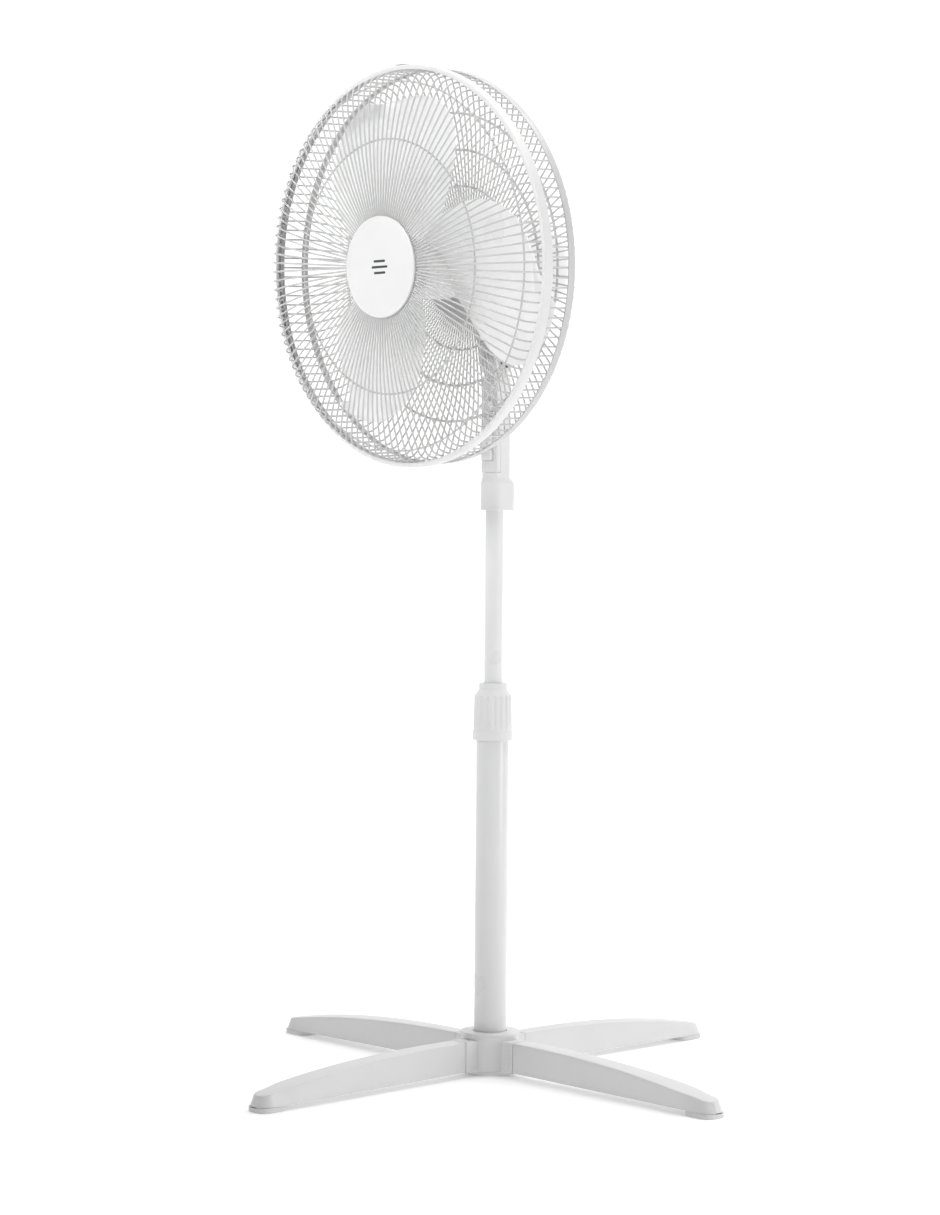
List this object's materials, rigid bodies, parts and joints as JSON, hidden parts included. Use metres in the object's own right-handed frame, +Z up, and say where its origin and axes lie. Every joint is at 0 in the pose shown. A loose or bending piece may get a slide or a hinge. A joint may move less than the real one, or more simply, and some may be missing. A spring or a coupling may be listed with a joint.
{
  "type": "pedestal fan",
  "caption": "Pedestal fan: cross base, telescopic pole with a fluted height collar, tilting and swinging head with a round wire guard and wide petal blades.",
  "frame": {"origin": "on the floor under the pole's axis, in the middle of the cross base", "axes": "+Z up along the pole; the fan blows towards -Y at rest; the legs lie along +X, +Y, -X and -Y"},
  "size_m": [0.6824, 0.6824, 1.1045],
  "materials": {
    "white_plastic": "fine moulded grain",
    "white_paint": "smooth powder coat",
    "guard_wire": "powder coated wire",
    "foot_plastic": "matt",
    "steel": "zinc plated",
    "dark_steel": "blackened",
    "black_plastic": "matt",
    "nylon": "natural nylon",
    "cast_metal": "die cast",
    "motor_grey": "matt grey paint",
    "core_steel": "laminated steel",
    "copper": "enamelled wire",
    "bronze": "sintered",
    "blade_plastic": "satin moulded",
    "badge_plastic": "smooth"
  },
  "bodies": {
    "base": {"base_hub": "white_plastic", "leg_right": "white_plastic", "leg_back": "white_plastic", "leg_left": "white_plastic", "leg_front": "white_plastic", "foot_pad_right": "foot_plastic", "foot_pad_back": "foot_plastic", "foot_pad_left": "foot_plastic", "foot_pad_front": "foot_plastic", "leg_screw_right": "steel", "leg_screw_back": "steel", "leg_screw_left": "steel", "leg_screw_front": "steel", "pole_insert": "steel", "base_bolt": "steel", "lower_pole": "white_paint", "pole_collet": "nylon"},
    "collar": {"height_collar": "white_plastic"},
    "mast": {"upper_pole": "white_paint", "neck_body": "white_plastic", "neck_cover": "white_plastic", "switch_block": "black_plastic", "cord_inlet": "white_plastic", "neck_screw_low": "steel", "neck_screw_high": "steel"},
    "clamp_screw": {"neck_clamp_screw": "dark_steel"},
    "button_0": {"speed_button_0": "white_plastic"},
    "button_1": {"speed_button_1": "white_plastic"},
    "button_2": {"speed_button_2": "white_plastic"},
    "button_3": {"speed_button_3": "white_plastic"},
    "tilt": {"tilt_bracket": "white_plastic", "tilt_bolt": "dark_steel", "tilt_nut": "steel", "pivot_pin": "steel", "link_screw": "steel"},
    "link": {"link_arm": "steel"},
    "head": {"gearbox_case": "cast_metal", "gearbox_lid": "black_plastic", "motor_rear_plate": "cast_metal", "motor_front_plate": "motor_grey", "stator_core": "core_steel", "winding_front": "copper", "winding_rear": "copper", "front_bush": "bronze", "rear_bush": "bronze", "motor_cover": "white_plastic", "cover_screw": "steel", "rear_guard": "guard_wire", "guard_nut": "white_plastic", "front_guard": "guard_wire", "trim_band": "white_plastic", "guard_clip": "white_plastic", "badge": "badge_plastic"},
    "crank": {"crank": "steel", "worm_wheel": "nylon"},
    "knob": {"swing_knob": "white_plastic"},
    "rotor": {"rotor": "core_steel", "motor_shaft": "steel", "fan_blade": "blade_plastic", "spinner_nut": "white_plastic"}
  },
  "joints": [
    {"name": "collar_turn", "type": "hinge", "parent": "base", "child": "collar", "pos_m": [0, 0, 0.4], "axis": [0, 0, 1], "range_deg": [0, 120]},
    {"name": "height_slide", "type": "slide", "parent": "base", "child": "mast", "axis": [0, 0, 1], "range_m": [-0.15, 0.08]},
    {"name": "clamp_screw_turn", "type": "hinge", "parent": "mast", "child": "clamp_screw", "pos_m": [0, 0.0205, 0.65], "axis": [0, 1, 0], "range_deg": [0, 360]},
    {"name": "tilt_hinge", "type": "hinge", "parent": "mast", "child": "tilt", "pos_m": [0, 0, 0.79], "axis": [-1, 0, 0], "range_deg": [-12, 20]},
    {"name": "swing_hinge", "type": "hinge", "parent": "tilt", "child": "head", "pos_m": [0, 0, 0.79], "axis": [0, -0.0489, 0.9988], "range_deg": [-35, 35]},
    {"name": "link_hinge", "type": "hinge", "parent": "tilt", "child": "link", "pos_m": [-0.0158, -0.00945, 0.82758], "axis": [0, -0.0489, 0.9988], "range_deg": [-36, 36]},
    {"name": "crank_turn", "type": "hinge", "parent": "head", "child": "crank", "pos_m": [-0.0175, 0.02377, 0.83622], "axis": [0, -0.0489, 0.9988], "range_deg": [-46, 46]},
    {"name": "knob_pull", "type": "slide", "parent": "head", "child": "knob", "axis": [0, -0.0489, 0.9988], "range_m": [0, 0.006]},
    {"name": "blade_spin", "type": "hinge", "parent": "head", "child": "rotor", "pos_m": [0, -0.00508, 0.89388], "axis": [0, -0.9988, -0.0489], "continuous": true},
    {"name": "button_0_press", "type": "slide", "parent": "mast", "child": "button_0", "axis": [0, 1, 0], "range_m": [0, 0.003], "stiffness_N_per_m": 250},
    {"name": "button_1_press", "type": "slide", "parent": "mast", "child": "button_1", "axis": [0, 1, 0], "range_m": [0, 0.003], "stiffness_N_per_m": 250},
    {"name": "button_2_press", "type": "slide", "parent": "mast", "child": "button_2", "axis": [0, 1, 0], "range_m": [0, 0.003], "stiffness_N_per_m": 250},
    {"name": "button_3_press", "type": "slide", "parent": "mast", "child": "button_3", "axis": [0, 1, 0], "range_m": [0, 0.003], "stiffness_N_per_m": 250}
  ],
  "couplings": [
    {"joint": "crank_turn", "follows": "swing_hinge", "ratio": -1.2857},
    {"joint": "link_hinge", "follows": "swing_hinge", "ratio": 1}
  ]
}
